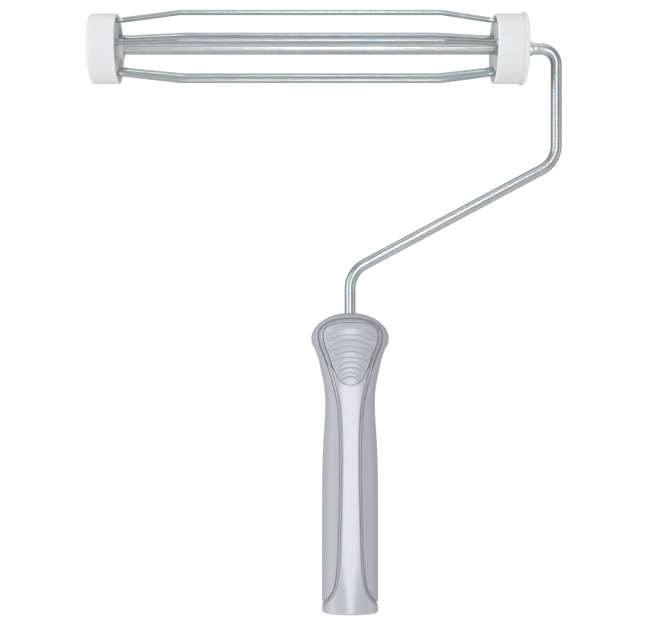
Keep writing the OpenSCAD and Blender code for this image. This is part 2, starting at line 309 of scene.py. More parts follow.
def grip_stations():
    """Matched points (channel, pad edge or None, grip's own edge) from the foot to the crown."""
    foot = [5.7, 5.9, 6.2, 6.6, 7.1, 7.7, 8.4, 9.2, 10.1, 11.2, 12.5, 14, 15.7, 17.6, 20]
    shaft = [23, 26.5, 30, 34, 39, 45, 52, 59, 66, 73, 80, 87, 93, 98, 103, 108, 112, 115.5]
    below = foot + shaft + [118.5, 120.8, 122.2]
    rows = [(point_at(CHANNEL_ROWS, z), None, z) for z in below]
    for u in shares(12):
        z = mix(123.2, PAD_LEG_Z, u)
        rows.append((point_at(CHANNEL_ROWS, z), bezier(PAD_FOOT, u), z))
    for u in shares(26):
        z = mix(PAD_LEG_Z, CHANNEL_ARCH_Z, u)
        pad = point_at(PAD_ROWS, mix(PAD_LEG_Z, PAD_ARCH_Z, u))
        rows.append((point_at(CHANNEL_ROWS, z), pad, z))
    result = []
    for channel, pad, z in rows:
        edge_z = z - (CHANNEL_ARCH_Z - HEAD_Z) * float(ease(135, CHANNEL_ARCH_Z, z))
        result.append((channel, pad, (float(half_width(edge_z)), edge_z)))
    for k in range(ARCH_STEPS + 1):
        turn = 90 * k / ARCH_STEPS
        result.append((arch(*CHANNEL_ARCH, turn), arch(*PAD_ARCH, turn), arch(*HEAD_ARCH, turn)))
    return result


def inward_normals(points, first, last):
    """Unit normals of a curve on its left-hand side, with those of its ends given."""
    points = np.array(points, float)
    along = np.zeros_like(points)
    along[1:-1] = points[2:] - points[:-2]
    along[0], along[-1] = points[1] - points[0], points[-1] - points[-2]
    along /= np.linalg.norm(along, axis=1, keepdims=True)
    normals = np.stack([-along[:, 1], along[:, 0]], axis=1)
    if first is not None:
        normals[0] = first
    if last is not None:
        normals[-1] = last
    return normals


# ---- meshes ----

def add_object(name, data):
    """A new object in the scene."""
    new = bpy.data.objects.new(name, data)
    bpy.context.scene.collection.objects.link(new)
    return new


def make_piece(name, points, faces, material, body, nodes, uvs=None, recess_shade=None):
    """A smooth mesh object from points in millimetres, tied to its body, slot and CAD nodes.

    Each point's depth in the piece's channels, from 0 to 1, goes into a layer that the shader uses
    to darken the colour as painted shade.
    """
    mesh = bpy.data.meshes.new(name)
    mesh.from_pydata([tuple(c * MM for c in p) for p in points], [], faces)
    if uvs is not None:
        layer = mesh.uv_layers.new(name="UVMap")
        layer.data.foreach_set("uv", np.array(uvs, np.float32).ravel())
    if recess_shade is not None:
        layer = mesh.attributes.new("recess_shade", "FLOAT", "POINT")
        layer.data.foreach_set("value", np.array(recess_shade, np.float32))
    piece = add_object(name, mesh)
    clean(mesh)
    mesh.materials.append(material)
    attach(piece, body)
    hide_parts(*nodes)
    return piece


MERGE_WITHIN = 2e-7
SHARP_OVER = 38


def clean(mesh):
    """Merges doubled points, turns the faces outwards, and keeps the sharp edges."""
    work = bmesh.new()
    work.from_mesh(mesh)
    bmesh.ops.remove_doubles(work, verts=work.verts, dist=MERGE_WITHIN)
    bmesh.ops.dissolve_degenerate(work, edges=work.edges, dist=1e-8)
    bmesh.ops.recalc_face_normals(work, faces=work.faces)
    for face in work.faces:
        face.smooth = True
    work.to_mesh(mesh)
    work.free()
    mesh.set_sharp_from_angle(angle=math.radians(SHARP_OVER))


def quad_grid(rows, columns, start=0, close_rows=False, close_columns=False):
    """Faces of a grid of points listed row by row."""
    faces = []
    for r in range(rows if close_rows else rows - 1):
        for c in range(columns if close_columns else columns - 1):
            r2, c2 = (r + 1) % rows, (c + 1) % columns
            faces.append((
                start + r * columns + c, start + r * columns + c2,
                start + r2 * columns + c2, start + r2 * columns + c,
            ))
    return faces


def mirrored_grid(points):
    """Points and faces of a quarter's grid and its mirrors, less faces in the mirror planes."""
    rows, columns = points.shape[:2]
    flat = points.reshape(-1, 3)
    faces = []
    for face in quad_grid(rows, columns):
        corners = flat[list(face)]
        if np.all(np.abs(corners[:, 0]) < 1e-4) or np.all(np.abs(corners[:, 1]) < 1e-4):
            continue
        faces.append(face)
    all_points, all_faces = [], []
    for sx in (1, -1):
        for sy in (1, -1):
            start = len(flat) * len(all_points)
            all_points.append(flat * np.array([sx, sy, 1]))
            turned = faces if sx * sy > 0 else [f[::-1] for f in faces]
            all_faces.extend(tuple(start + i for i in f) for f in turned)
    return np.concatenate(all_points), all_faces


def cut_away(piece, cutters):
    """Cuts closed meshes out of a piece and removes them."""
    for cutter in cutters:
        modifier = piece.modifiers.new("cut", "BOOLEAN")
        modifier.operation = "DIFFERENCE"
        modifier.solver = "EXACT"
        modifier.object = cutter
    bpy.context.view_layer.update()
    graph = bpy.context.evaluated_depsgraph_get()
    mesh = bpy.data.meshes.new_from_object(piece.evaluated_get(graph))
    piece.modifiers.clear()
    piece.data = mesh
    clean(mesh)
    for cutter in cutters:
        bpy.data.objects.remove(cutter)


def round_cutter(start, end, radius, sides=40):
    """A closed cylinder between two points, for cutting."""
    start, end = Vector(start), Vector(end)
    middle, along = (start + end) / 2, end - start
    work = bmesh.new()
    turn = along.to_track_quat("Z", "Y").to_matrix().to_4x4()
    bmesh.ops.create_cone(
        work, cap_ends=True, segments=sides, radius1=radius * MM, radius2=radius * MM,
        depth=along.length * MM, matrix=Matrix.Translation(middle * MM) @ turn,
    )
    mesh = bpy.data.meshes.new("cutter")
    work.to_mesh(mesh)
    work.free()
    return add_object("cutter", mesh)


# ---- turned pieces ----

def rounded_profile(corners, closed=True, steps=5):
    """Points of an outline whose corners (x, r, radius) are rounded, with support points."""
    count = len(corners)
    points = []
    for i, (x, r, radius) in enumerate(corners):
        here = np.array([x, r], float)
        ends = not closed and i in (0, count - 1)
        if radius == 0 or ends:
            points.append(here)
            continue
        before = np.array(corners[i - 1][:2], float) - here
        after = np.array(corners[(i + 1) % count][:2], float) - here
        reach = (np.linalg.norm(before), np.linalg.norm(after))
        before, after = before / reach[0], after / reach[1]
        half = math.acos(float(np.clip(before @ after, -1, 1))) / 2
        back = radius / math.tan(half)
        middle = here + (before + after) / np.linalg.norm(before + after) * radius / math.sin(half)
        start, end = here + before * back, here + after * back
        support = min(0.15, 0.2 * radius + 0.05)
        if reach[0] > back + 2 * support:
            points.append(start + before * support)
        a0 = math.atan2(*(start - middle)[::-1])
        a1 = math.atan2(*(end - middle)[::-1])
        sweep = (a1 - a0 + math.pi) % (2 * math.pi) - math.pi
        for k in range(steps + 1):
            a = a0 + sweep * k / steps
            points.append(middle + radius * np.array([math.cos(a), math.sin(a)]))
        if reach[1] > back + 2 * support:
            points.append(end + after * support)
    return points


def turned_points(profile, sides, shape=None):
    """A grid of points from an outline (x, r) turned about the cage's axis."""
    points = []
    for x, r in profile:
        for t in full_turn(sides):
            px, pr = shape(x, r, t) if shape else (x, r)
            points.append((px, pr * math.sin(t), AXLE_Z + pr * math.cos(t)))
    return points


def turned_piece(name, corners, material, body, nodes, sides=96, steps=5, shape=None):
    """A closed turned solid from an outline of (x, r, corner radius)."""
    profile = rounded_profile(corners, steps=steps)
    points = turned_points(profile, sides, shape)
    faces = quad_grid(len(profile), sides, close_rows=True, close_columns=True)
    return make_piece(name, points, faces, material, body, nodes)


# ---- bars ----

def bent_path(corners, radii, straight_step, bend_step):
    """Stations (place, direction) along straight runs joined by round bends."""
    corners = [np.array(c, float) for c in corners]
    last = len(corners) - 1
    places, directions = [], []

    def run(a, b, skip_first):
        count = max(1, round(float(np.linalg.norm(b - a)) / straight_step))
        for k in range(1 if skip_first else 0, count + 1):
            places.append(mix(a, b, k / count))
            directions.append((b - a) / np.linalg.norm(b - a))

    here = corners[0]
    for i in range(1, last):
        into = corners[i] - corners[i - 1]
        out = corners[i + 1] - corners[i]
        into, out = into / np.linalg.norm(into), out / np.linalg.norm(out)
        cross = into[0] * out[1] - into[1] * out[0]
        angle = math.atan2(cross, float(into @ out))
        back = radii[i] * math.tan(abs(angle) / 2)
        start = corners[i] - into * back
        run(here, start, i > 1)
        hand = math.copysign(1, angle)
        middle = start + hand * radii[i] * np.array([-into[1], into[0]])
        steps = max(2, round(abs(math.degrees(angle)) / bend_step))
        for k in range(1, steps + 1):
            a = angle * k / steps
            c, s = math.cos(a), math.sin(a)
            spin = np.array([[c, -s], [s, c]])
            places.append(middle + spin @ (start - middle))
            directions.append(spin @ into)
        here = places[-1]
    run(here, corners[last], last > 1)
    return np.array(places), np.array(directions)


def swept_bar(places, directions, section, sides):
    """Points, faces and UVs of a bar in the X-Z plane. section(i) gives its half sizes in
    that plane and across it, and the squareness of its outline."""
    along = lengths_along(places)
    points = []
    for i, (place, way) in enumerate(zip(places, directions)):
        in_plane, across, power = section(i)
        side = np.array([-way[1], way[0]])
        for t in full_turn(sides):
            c, s = math.cos(t), math.sin(t)
            u = math.copysign(abs(c) ** (2 / power), c) * in_plane
            v = math.copysign(abs(s) ** (2 / power), s) * across
            points.append((place[0] + side[0] * u, v, place[1] + side[1] * u))
    rows = len(places)
    faces = quad_grid(rows, sides, close_columns=True)
    uvs = []
    for r in range(rows - 1):
        for c in range(sides):
            u0, u1 = along[r] / 100, along[r + 1] / 100
            v0, v1 = c / sides, (c + 1) / sides
            uvs.extend([(u0, v0), (u0, v1), (u1, v1), (u1, v0)])
    for start, end in ((0, True), ((rows - 1) * sides, False)):
        ring = list(range(start, start + sides))
        faces.append(ring[::-1] if end else ring)
        at = (along[0] if end else along[-1]) / 100
        uvs.extend([(at, k / sides) for k in range(sides)])
    return points, faces, uvs


# ---- materials ----

class Nodes:
    """Short ways to add and join the nodes of a material or the world."""

    def __init__(self, owner):
        self.owner = owner
        owner.use_nodes = True
        self.tree = owner.node_tree
        self.shader = self.tree.nodes.get("Principled BSDF")

    def add(self, kind, **values):
        node = self.tree.nodes.new("ShaderNode" + kind)
        for key, value in values.items():
            setattr(node, key, value)
        return node

    def join(self, output, target):
        self.tree.links.new(output, target)

    def feed(self, name, output):
        """Joins an output to one of the shader's inputs."""
        self.join(output, self.shader.inputs[name])

    def set(self, **values):
        for key, value in values.items():
            self.shader.inputs[key.replace("_", " ")].default_value = value

    def place(self, kind="Object", scale=(1, 1, 1)):
        """Surface coordinates, stretched by scale."""
        source = self.add("TexCoord")
        mapping = self.add("Mapping")
        mapping.inputs["Scale"].default_value = scale
        self.join(source.outputs[kind], mapping.inputs["Vector"])
        return mapping.outputs["Vector"]

    def noise(self, where, scale, detail=3, roughness=0.5):
        node = self.add("TexNoise")
        node.inputs["Scale"].default_value = scale
        node.inputs["Detail"].default_value = detail
        node.inputs["Roughness"].default_value = roughness
        self.join(where, node.inputs["Vector"])
        return node.outputs["Fac"]

    def ramp(self, value, stops):
        """A value spread over colours or numbers given as (place, colour or number)."""
        node = self.add("ValToRGB")
        points = node.color_ramp.elements
        while len(points) < len(stops):
            points.new(0.5)
        for point, (at, colour) in zip(points, stops):
            point.position = at
            point.color = (*colour, 1) if isinstance(colour, tuple) else (colour,) * 3 + (1,)
        self.join(value, node.inputs["Fac"])
        return node.outputs["Color"]

    def times(self, a, b):
        """One colour multiplied by another."""
        node = self.add("Mix", data_type="RGBA", blend_type="MULTIPLY")
        node.inputs["Factor"].default_value = 1
        self.join(a, node.inputs[6])
        self.join(b, node.inputs[7])
        return node.outputs[2]

    def bumps(self, *layers):
        """Bump layers (height, distance in metres) laid over each other."""
        normal = None
        for height, distance in layers:
            node = self.add("Bump")
            node.inputs["Distance"].default_value = distance
            self.join(height, node.inputs["Height"])
            if normal is not None:
                self.join(normal, node.inputs["Normal"])
            normal = node.outputs["Normal"]
        self.feed("Normal", normal)


def moulded_plastic(
    name, colour, roughness, grain, grain_depth, flow=0.006, scatter=0, gleam=0.5, crease_shade=0.72,
    hollow_shade=None
):
    """Moulded plastic: faint flow marks, painted shade in creases, a fine grain and a changing
    gloss.

    Ramp stops, if given, darken the colour by the mesh's own layer of channel depths, as painted
    shade.
    """
    n = Nodes(bpy.data.materials.new(name))
    where = n.place()
    marks = n.noise(n.place(scale=(1, 1, 0.35)), 55, 4, 0.6)
    low = tuple(c * (1 - flow) for c in colour)
    high = tuple(min(1, c * (1 + flow)) for c in colour)
    base = n.ramp(marks, [(0.3, low), (0.7, high)])
    # Painted shade: the colour darkens where ambient occlusion finds creases
    creases = n.add("AmbientOcclusion", samples=8)
    creases.inputs["Distance"].default_value = 0.006
    shade = n.ramp(creases.outputs["AO"], [(0.5, crease_shade), (0.97, 1)])
    base = n.times(base, shade)
    # Painted shade in the channels, read from the mesh's layer of channel depths
    if hollow_shade:
        recess_shade = n.add("Attribute", attribute_name="recess_shade")
        base = n.times(base, n.ramp(recess_shade.outputs["Fac"], hollow_shade))
    n.feed("Base Color", base)
    cloud = n.noise(where, 160, 3)
    n.feed("Roughness", n.ramp(cloud, [(0.3, roughness - 0.01), (0.7, roughness + 0.01)]))
    fine = n.noise(where, grain, 2)
    waves = n.noise(where, 45, 2)
    n.bumps((waves, 0.00001), (fine, grain_depth))
    n.set(IOR=1.49, Specular_IOR_Level=gleam)
    if scatter:
        n.set(Subsurface_Weight=scatter, Subsurface_Radius=(1, 0.96, 0.92), Subsurface_Scale=0.002)
    return n.owner


def zinc_bar(name, dark, light, tint_a, tint_b, gloss):
    """Zinc-plated drawn bar: streaks along its length, and tints of passivation."""
    n = Nodes(bpy.data.materials.new(name))
    streaks = n.noise(n.place("UV", (3, 34, 1)), 1, 5, 0.6)
    fine = n.noise(n.place("UV", (14, 110, 1)), 1, 4, 0.7)
    tints = n.noise(n.place(), 75, 3, 0.6)
    base = n.ramp(streaks, [(0.32, dark), (0.68, light)])
    tint = n.ramp(tints, [(0.34, tint_a), (0.5, (1, 1, 1)), (0.66, tint_b)])
    n.feed("Base Color", n.times(base, tint))
    n.feed("Roughness", n.ramp(fine, [(0.3, gloss - 0.06), (0.7, gloss + 0.1)]))
    n.bumps((streaks, 0.000015), (fine, 0.000003))
    n.set(Metallic=1)
    return n.owner


def sheet_steel(name, colour, gloss):
    """Stamped or turned steel: a brushed grain and dulled patches."""
    n = Nodes(bpy.data.materials.new(name))
    patches = n.noise(n.place(), 220, 4, 0.6)
    grain = n.noise(n.place(scale=(8, 1, 1)), 900, 2)
    dark = tuple(c * 0.82 for c in colour)
    n.feed("Base Color", n.ramp(patches, [(0.3, dark), (0.7, colour)]))
    n.feed("Roughness", n.ramp(grain, [(0.2, gloss - 0.08), (0.8, gloss + 0.1)]))
    n.bumps((grain, 0.00001), (patches, 0.00002))
    n.set(Metallic=1)
    return n.owner


# The core's colour darkens in its moat and channels as painted shade
CORE_PLASTIC = moulded_plastic(
    "core_plastic", (0.44, 0.44, 0.484), 0.24, 2600, 0.000002, gleam=1.0,
    hollow_shade=[(0.3, 1), (0.47, 0.86), (0.59, 0.82), (1, 0.3)]
)
GRIP_PLASTIC = moulded_plastic(
    "grip_plastic", (0.41, 0.41, 0.448), 0.36, 2200, 0.000004, gleam=0.6
)
PAD_PLASTIC = moulded_plastic(
    "pad_plastic", (0.44, 0.44, 0.484), 0.30, 2400, 0.000003, gleam=1.0
)
INSERT_PLASTIC = moulded_plastic("insert_plastic", (0.34, 0.34, 0.37), 0.38, 1800, 0.00001)
# The caps' painted shade in creases is kept faint
CAP_PLASTIC = moulded_plastic(
    "cap_plastic", (0.72, 0.72, 0.724), 0.42, 1500, 0.000008, 0.012, 0.5, crease_shade=0.95
)
BEARING_NYLON = moulded_plastic(
    "bearing_nylon", (0.74, 0.74, 0.71), 0.36, 1500, 0.000006, 0.015, 0.3
)
ROD_ZINC = zinc_bar(
    "zinc_rod", (0.38, 0.41, 0.42), (0.54, 0.56, 0.56), (0.88, 0.95, 1), (1, 0.985, 0.91), 0.29
)
WIRE_ZINC = zinc_bar(
    "zinc_wire", (0.29, 0.33, 0.345), (0.45, 0.48, 0.49), (0.88, 0.95, 1), (1, 0.98, 0.90), 0.30
)
SPRING_STEEL = sheet_steel("spring_steel", (0.40, 0.39, 0.38), 0.34)
WASHER_STEEL = sheet_steel("washer_steel", (0.62, 0.64, 0.65), 0.28)


# ---- the grip's pieces ----

def station_frames():
    """Station points with their channel and pad normals, and the channel's width at each."""
    stations = grip_stations()
    channel = np.array([s[0] for s in stations], float)
    edge = np.array([s[2] for s in stations], float)
    inward = inward_normals(channel, None, (0, -1))
    near_foot = 1 - ease(0, 2.2, lengths_along(channel))
    down = np.array([0, -FOOT_STRETCH])
    inward = inward + (down - inward) * near_foot[:, None]
    width = smooth(CHANNEL_WIDTH_ROWS, np.minimum(channel[:, 1], CHANNEL_ARCH_Z))
    first_pad = next(i for i, s in enumerate(stations) if s[1] is not None)
    pad = np.array([s[1] for s in stations[first_pad:]], float)
    pad_outward = -inward_normals(pad, (0, 1), (0, -1))
    return channel, edge, inward, width, first_pad, pad, pad_outward


def strip_lift(x, z):
    """How far the core's flat front strip stands above the grip's rounder section."""
    wide, deep = half_width(z), half_depth(z)
    a = np.clip(np.abs(x) / wide, 0, 1)
    fall = deep * (1 - (1 - a ** SECTION_POWER) ** (1 / SECTION_POWER))
    flatness = smooth([(0, 0), (5, 0), (17, 0.42), (28, 0.72), (42, 0.82), (170, 0.82)], z)
    return fall * flatness


FOOT_ROUND_R = 1.0


def foot_round(z):
    """Sinking of the surface that rounds the grip's lower edge."""
    below = np.clip(FOOT_ROUND_R - z, 0, FOOT_ROUND_R)
    return FOOT_ROUND_R - np.sqrt(FOOT_ROUND_R * FOOT_ROUND_R - below * below)


EDGE_OFFSETS = (0.04, 0.12, 0.3)
EDGE_DEPTHS = (0.16, 0.05, 0.01)
STRIP_STEPS = 12
UNDER_STEPS = 8


def strip_cells(goal, side, moat, has_pad):
    """Places and depths from the pad's seat to the channel, over the strip or the moat."""
    gap = float(np.linalg.norm(goal - side))
    toward = (goal - side) / gap
    shrink = min(1, gap / 1.4)
    crowd = float(ease(8, 14, side[0]))

    def sunk(depth):
        return mix(depth, MOAT_DEPTH, moat)

    cells = [(goal, sunk(GROOVE_EDGE * has_pad))]
    for offset, depth in zip(EDGE_OFFSETS, EDGE_DEPTHS):
        cells.append((goal - toward * offset * shrink, sunk(depth * has_pad)))
    first = goal - toward * EDGE_OFFSETS[-1] * shrink
    final = side + toward * EDGE_OFFSETS[-1] * shrink
    for k in range(1, STRIP_STEPS):
        u = k / STRIP_STEPS
        u = mix(u, 1 - (1 - u) ** 2, crowd)
        cells.append((mix(first, final, u), sunk(0)))
    for offset, depth in zip(EDGE_OFFSETS[::-1], EDGE_DEPTHS[::-1]):
        cells.append((side + toward * offset * shrink, sunk(depth)))
    cells.append((side, sunk(GROOVE_EDGE)))
    return cells


def channel_profile(width, moat, up):
    """Offsets and depths over the channel: two grooves with a bead between them."""
    bead = (width - 2 * GROOVE_HALF) / 2
    top = mix(mix(FOOT_BEAD_DEPTH, BEAD_DEPTH, up), MOAT_BEAD_DEPTH, moat)
    bottom = mix(mix(FOOT_GROOVE_DEPTH, GROOVE_DEPTH, up), MOAT_DEPTH, moat)
    inner = width - GROOVE_HALF
    return [
        (width + GROOVE_HALF - 0.02, bottom), (inner, bottom),
        (inner - 0.04, mix(top, bottom, 0.5)), (inner - 0.14, top + 0.05),
        (width / 2, top - 0.05 * bead), (GROOVE_HALF + 0.14, top + 0.05),
        (GROOVE_HALF + 0.04, mix(top, bottom, 0.5)), (GROOVE_HALF, bottom),
        (-GROOVE_HALF, bottom),
    ]


def core_rows():
    """The core's quarter surface, from its socket up to its crown, with its cells and a mask of
    painted shade for the moat and the channel's foot.
    """
    channel, edge, inward, width, first_pad, pad, pad_outward = station_frames()
    rows = []
    for i, (here, n, w) in enumerate(zip(channel, inward, width)):
        moat = float(ease(MOAT_FROM_Z, MOAT_FULL_Z, here[1]))
        up = float(ease(*FOOT_CHANNEL_Z, here[1]))
        side = here + n * (w + GROOVE_HALF)
        has_pad = i >= first_pad
        if has_pad:
            rim = pad[i - first_pad]
            out = pad_outward[i - first_pad]
            goal = rim + out * (PAD_SEAT_GAP + PAD_SEAT_WIDER * moat)
            arch_part = max(0, i - (len(channel) - ARCH_STEPS - 1)) / ARCH_STEPS
            arch_centre = mix(PAD_ARCH_Z, rim[1], 0.85)
            centre = np.array([0, mix(rim[1], arch_centre, float(ease(0, 0.2, arch_part)))])
            seat_edge = mix(centre, goal, 0.999)
        else:
            below_pad = i == first_pad - 1
            goal = np.array([0, pad[0, 1] - PAD_SEAT_GAP - 0.1 if below_pad else side[1]])
            centre = seat_edge = goal
        seat = [(mix(centre, seat_edge, u), PAD_SEAT_DEPTH * has_pad) for u in (0, 0.33, 0.66, 1)]
        strip = strip_cells(goal, side, moat, has_pad)
        profile = channel_profile(w, moat, up)
        grooves = [(here + n * q, depth) for q, depth in profile]
        under_depth = GRIP_SKIN + 0.1 if i > 0 else profile[0][1]
        outer = here - n * GROOVE_HALF
        turns = [1 - k / UNDER_STEPS for k in range(UNDER_STEPS + 1)]
        under = [(mix(edge[i], outer, v * v), under_depth) for v in turns]
        cells = [(*place, depth, 0) for place, depth in seat]
        cells += [(*place, depth, 1) for place, depth in strip]
        cells += [(*place, depth, 0) for place, depth in grooves + under]
        rows.append(cells)
    cells = np.array(rows)
    cells[..., 0] = np.maximum(cells[..., 0], 0)
    x = np.minimum(cells[..., 0], half_width(np.minimum(cells[..., 1], GRIP_TOP_Z - 1e-3)))
    z, depth, flat = cells[..., 1], cells[..., 2], cells[..., 3]
    heights = channel[:, 1][:, None]
    sinking = ease(PAD_FOOT[0][1] - 3, MOAT_FROM_Z, heights)
    lift = strip_lift(x, np.clip(z, 0, HEAD_Z)) * flat * (1 - sinking)
    upper = on_grip(x, z, depth - lift)
    upper[-1, :, 0] = 0
    upper[..., 1] = np.minimum(upper[..., 1], 0)
    upper[:, -1, 1] = 0
    # Painted shade mask: darkest deep in the moat round the pad, and on the channel's floor near
    # its foot
    head = ease(MOAT_FROM_Z, MOAT_FULL_Z, heights) * np.clip(depth / PAD_SEAT_DEPTH, 0, 1)
    in_channel = (depth > 0.2) & (depth < GRIP_SKIN)
    foot = FOOT_RECESS_SHADE * (1 - ease(*FOOT_CHANNEL_Z, heights)) * in_channel
    return upper, cells, np.maximum(head, foot)


def core_foot(first_row, cells):
    """Rows of points for the collar, its lower edge and the seat of the pole socket insert."""
    columns = first_row.shape[0]
    across = cells[0, :, 0] / GRIP_HALF
    strip_end = int(np.argmax(across > 0.9999)) if np.any(across > 0.9999) else columns - 1
    across = np.clip(across, 0, 1)
    across[strip_end:] = 1
    seat_r = insert_high[0] + 0.05
    seat_top = insert_high[2] + 0.1

    def ring(z, depth):
        points = on_grip(across * half_width(z), np.full(columns, float(z)), depth)
        points[:, 2] = z
        points[strip_end:, 1] = 0
        return points

    lowest = ring(0, FOOT_ROUND_R)
    way = lowest[:, :2] / np.linalg.norm(lowest[:, :2], axis=1, keepdims=True)

    def circle(r, z):
        return np.column_stack([way * r, np.full(columns, float(z))])

    seat = [
        (0, seat_top), (seat_r - 0.3, seat_top), (seat_r, seat_top - 0.3), (seat_r, 0.4),
        (seat_r + 0.1, 0.12), (seat_r + 0.3, 0),
    ]
    rows = [circle(r, z) for r, z in seat]
    rows += [ring(z, foot_round(z)) for z in (0, 0.06, 0.18, 0.36, 0.6, 0.85, 1.0)]
    rows += [ring(z, 0) for z in (1.3, 1.8, 2.4)]
    return np.array(rows)


def handle_core():
    """The grip's hard core, with its socket, collar, channels and the pads' seats."""
    upper, cells, recess_shade = core_rows()
    foot = core_foot(upper[0], cells)
    # The collar's rows get no painted shade
    recess_shade = np.concatenate([np.zeros(foot.shape[:2]), recess_shade]).ravel()
    points, faces = mirrored_grid(np.concatenate([foot, upper]))
    core = make_piece(
        "handle_core_shell", points, faces, CORE_PLASTIC, "frame",
        ["handle_core"], recess_shade=np.tile(recess_shade, 4),
    )
    cut_away(core, [round_cutter((0, 0, ROD_FOOT_Z), (0, 0, GRIP_TOP_Z + 5), ROD_R + 0.02)])


def side_grip():
    """The soft skin: two long cheeks joined by an arch over the head, wrapped front to back."""
    channel, edge, inward = station_frames()[:3]
    steps = 18
    rows = []
    for here, n, rim in zip(channel, inward, edge):
        lip = here - n * (GROOVE_HALF + 0.3)
        wall = here - n * GROOVE_HALF
        cells = [(*mix(rim, lip, (k / steps) ** 2), 0) for k in range(steps + 1)]
        for offset, depth in ((0.14, 0.03), (0.06, 0.1), (0.02, 0.22), (0, 0.4)):
            cells.append((*(here - n * (GROOVE_HALF + offset)), depth))
        cells.append((*wall, GRIP_SKIN))
        for k in range(1, steps // 2 + 1):
            v = 1 - k / (steps // 2)
            cells.append((*mix(rim, wall, v * v), GRIP_SKIN))
        rows.append(cells)
    rows[0] = [(*edge[0], 0.3)] * len(rows[0])
    cells = np.array(rows)
    z = cells[..., 1]
    x = np.clip(cells[..., 0], 0, half_width(np.minimum(z, GRIP_TOP_Z - 1e-3)))
    points = on_grip(x, z, cells[..., 2])
    points[-1, :, 0] = 0
    points[..., 1] = np.minimum(points[..., 1], 0)
    points[:, 0, 1] = 0
    points[:, -1, 1] = 0
    points, faces = mirrored_grid(points)
    grip = make_piece(
        "side_grip_skin", points, faces, GRIP_PLASTIC, "frame", ["side_grip"]
    )
    cut_away(grip, [round_cutter((0, 0, HEAD_Z), (0, 0, GRIP_TOP_Z + 5), ROD_R + 0.15)])


PAD_GAP = 0.1
PAD_ROLL = 0.35
PAD_TOP_ROWS = 380
PAD_TOP_COLUMNS = 300
PAD_UNDER_COLUMNS = 9
PAD_FOOT_STEPS = 40
PAD_SIDE_STEPS = 60


def pad_outline():
    """The pad's right-hand edge from its foot to its crown."""
    points = [bezier(PAD_FOOT, u) for u in shares(PAD_FOOT_STEPS)]
    for u in shares(PAD_SIDE_STEPS):
        points.append(point_at(PAD_ROWS, mix(PAD_LEG_Z, PAD_ARCH_Z, u)))
    for k in range(PAD_SIDE_STEPS + 1):
        points.append(arch(*PAD_ARCH, 90 * k / PAD_SIDE_STEPS))
    return np.array(points, float)


def distance_to_line(x, z, line):
    """Distance from each point (x, z) to a polyline."""
    best = np.full(x.shape, 1e9)
    for a, b in zip(line[:-1], line[1:]):
        run = b - a
        size = float(run @ run)
        if size < 1e-12:
            continue
        u = np.clip(((x - a[0]) * run[0] + (z - a[1]) * run[1]) / size, 0, 1)
        best = np.minimum(best, np.hypot(x - a[0] - u * run[0], z - a[1] - u * run[1]))
    return best


# Ribs of the thumb pad: top and bottom at the middle, tip's place, tip's radius
RIBS = [
    (155.1, 151.7, 12.0, 149.7, 0.95),
    (148.6, 145.2, 11.0, 143.8, 0.85),
    (142.4, 139.5, 9.1, 138.4, 0.8),
    (136.8, 134.0, 6.2, 133.0, 0.75),
    (131.2, 129.3, 4.2, 128.3, 0.6),
]
RIB_RISE = 0.35
RIB_EDGE = 0.22
RIB_GROOVE = 0.13
RIB_GROOVE_WIDTH = 0.22


def rib_height(x, z):
    """Height of the crescent ribs at (x, z), each inside a fine groove."""
    height = np.zeros_like(x)
    groove = np.zeros_like(x)
    for top, bottom, tip_x, tip_z, tip_r in RIBS:
        middle = (top + bottom) / 2
        sag = middle - tip_z
        radius = (tip_x ** 2 + sag ** 2) / (2 * sag)
        centre_z = middle - radius
        turn = np.arctan2(np.abs(x), z - centre_z)
        tip_turn = math.atan2(tip_x, tip_z - centre_z)
        share = np.clip(turn / tip_turn, 0, 1)
        half = mix((top - bottom) / 2, tip_r, share ** 1.6)
        band = np.abs(np.hypot(x, z - centre_z) - radius) - half
        tip = np.hypot(np.abs(x) - tip_x, z - tip_z) - tip_r
        distance = np.where(turn < tip_turn, band, tip)
        height = np.maximum(height, RIB_RISE * ease(RIB_EDGE, -RIB_EDGE, distance))
        groove = np.maximum(groove, np.exp(-((distance - RIB_EDGE) / RIB_GROOVE_WIDTH) ** 2))
    return height - RIB_GROOVE * groove


def pad_top(x, z, line):
    """The ribbed face of the pad at (x, z), rolled down at its edge."""
    whole = np.concatenate([line, line[::-1] * np.array([-1, 1])])
    distance = distance_to_line(x, z, whole) - PAD_GAP
    inside = np.clip(PAD_ROLL - distance, 0, PAD_ROLL)
    depth = PAD_ROLL - np.sqrt(PAD_ROLL * PAD_ROLL - inside * inside) - rib_height(x, z)
    return on_grip(x, z, depth)


